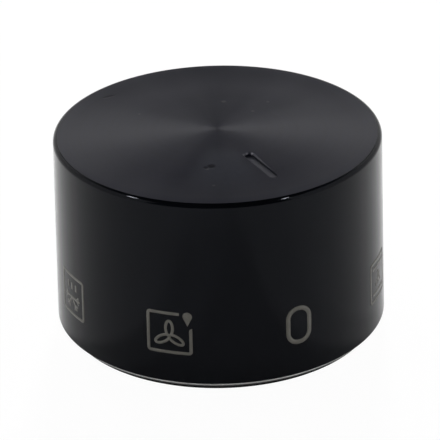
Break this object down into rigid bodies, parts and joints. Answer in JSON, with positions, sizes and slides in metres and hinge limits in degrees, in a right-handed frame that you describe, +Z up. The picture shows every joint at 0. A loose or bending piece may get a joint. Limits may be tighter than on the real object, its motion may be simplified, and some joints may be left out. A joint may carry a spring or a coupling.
{
  "type": "oven control knob",
  "caption": "Round black push-on oven control knob with a spun top, a pointer groove and printed function symbols, over a moulded core with a sprung socket for a flatted shaft.",
  "frame": {"origin": "on the knob's axis, in the plane of the foot that it stands on", "axes": "+Z up the knob's axis from the foot to the spun top, -Y towards the pointer groove"},
  "size_m": [0.043, 0.043, 0.0268],
  "materials": {
    "black_shell": "black finished aluminium: gloss side, finely spun top, bare cut edge at the base",
    "black_moulding": "fine matt moulded black plastic",
    "spring_steel": "rolled spring steel strip",
    "symbol_ink": "thin matt warm grey print of the number and the symbols round the side"
  },
  "bodies": {
    "root": {"shell": "black_shell", "core": "black_moulding", "shaft_clip": "spring_steel"}
  },
  "joints": []
}
